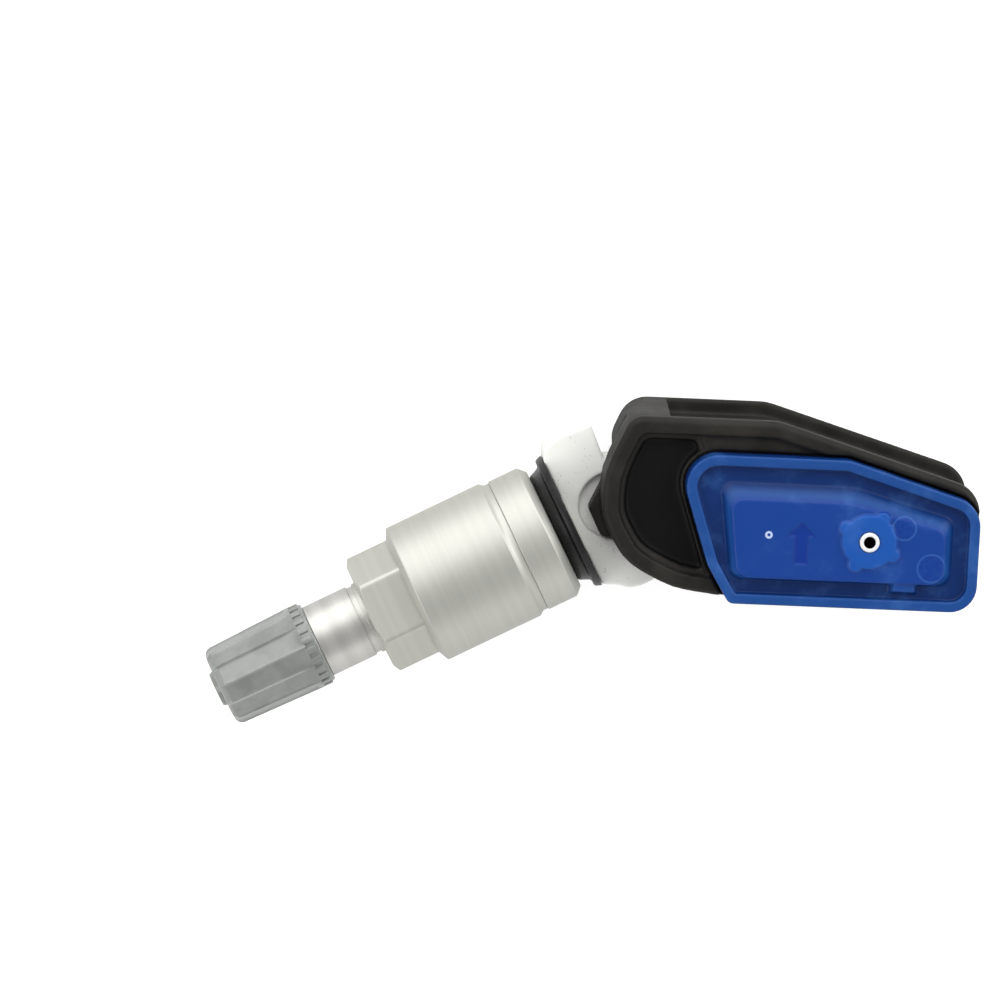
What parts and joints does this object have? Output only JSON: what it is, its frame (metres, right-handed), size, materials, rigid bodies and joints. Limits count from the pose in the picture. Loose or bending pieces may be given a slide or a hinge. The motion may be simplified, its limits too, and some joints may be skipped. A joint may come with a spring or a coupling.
{
  "type": "tyre pressure sensor",
  "caption": "Wheel-mounted tyre pressure sensor: moulded head with a welded blue lid, hinged on a metal clamp-in valve with rubber seal, ring, hex nut and fluted cap.",
  "frame": {"origin": "where the seal's flange meets the rim, on the valve's axis", "axes": "+X along the valve from the cap towards the sensor head, +Z along the hinge and out of the lid, -Z is the head's flat back"},
  "size_m": [0.0852, 0.0359, 0.0189],
  "materials": {
    "black_plastic": "satin moulded black plastic with soft edges",
    "blue_plastic": "deep blue, slightly see-through laser-weldable plastic, smooth",
    "circuit_board": "green solder resist on glass fibre",
    "battery_steel": "nickel-plated steel can",
    "nickel_strip": "thin plated strip",
    "chip_black": "moulded chip package",
    "crystal_can": "metal can",
    "ferrite": "dull sintered ferrite",
    "copper_wire": "enamelled copper winding",
    "antenna_metal": "bent plated strip",
    "white_seal": "white silicone tube",
    "steel": "plated screw steel",
    "valve_alloy": "light forged foot with fine pits, turned stem with fine lines",
    "black_rubber": "smooth black sealing rubber",
    "turned_alloy": "satin turned aluminium",
    "grey_cap": "grey, slightly see-through moulded plastic",
    "brass": "turned brass",
    "ptfe": "white sealing ring",
    "spring_steel": "spring wire"
  },
  "bodies": {
    "sensor_head": {"housing": "black_plastic", "lid": "blue_plastic", "pcb": "circuit_board", "battery": "battery_steel", "battery_tab_pos": "nickel_strip", "battery_tab_neg": "nickel_strip", "pressure_sensor": "chip_black", "microcontroller": "chip_black", "crystal": "crystal_can", "coil_core": "ferrite", "coil_winding": "copper_wire", "antenna": "antenna_metal", "port_seal": "white_seal", "pivot_screw": "steel"},
    "valve": {"valve_body": "valve_alloy", "grommet_seal": "black_rubber", "core_barrel": "brass", "core_gasket": "ptfe", "core_spring": "spring_steel"},
    "ring": {"clamp_ring": "turned_alloy"},
    "nut": {"nut": "turned_alloy"},
    "cap_insert": {"cap_gasket": "black_rubber"},
    "cap": {"valve_cap": "grey_cap"},
    "core": {"core_pin": "brass", "core_cup": "black_rubber"}
  },
  "joints": [
    {"name": "valve_swing", "type": "hinge", "parent": "sensor_head", "child": "valve", "pos_m": [0.0056, 0, 0], "axis": [0, 0, -1], "range_deg": [0, 48.6]},
    {"name": "ring_travel", "type": "slide", "parent": "valve", "child": "ring", "axis": [-1, 0, 0], "range_m": [0, 0.004]},
    {"name": "nut_turn", "type": "hinge", "parent": "ring", "child": "nut", "pos_m": [0, 0, 0], "axis": [-1, 0, 0], "range_deg": [0, 1800.01]},
    {"name": "cap_travel", "type": "slide", "parent": "valve", "child": "cap_insert", "axis": [-1, 0, 0], "range_m": [0, 0.0128]},
    {"name": "cap_turn", "type": "hinge", "parent": "cap_insert", "child": "cap", "pos_m": [0, 0, 0], "axis": [-1, 0, 0], "range_deg": [0, 5760.01]},
    {"name": "core_push", "type": "slide", "parent": "valve", "child": "core", "axis": [1, 0, 0], "range_m": [0, 0.0012], "stiffness_N_per_m": 1200, "springref_m": -0.0012, "deforming": ["core_spring"]}
  ],
  "couplings": [
    {"joint": "nut_turn", "follows": "ring_travel", "rad_per_m": 7854},
    {"joint": "cap_turn", "follows": "cap_travel", "rad_per_m": 7854}
  ]
}
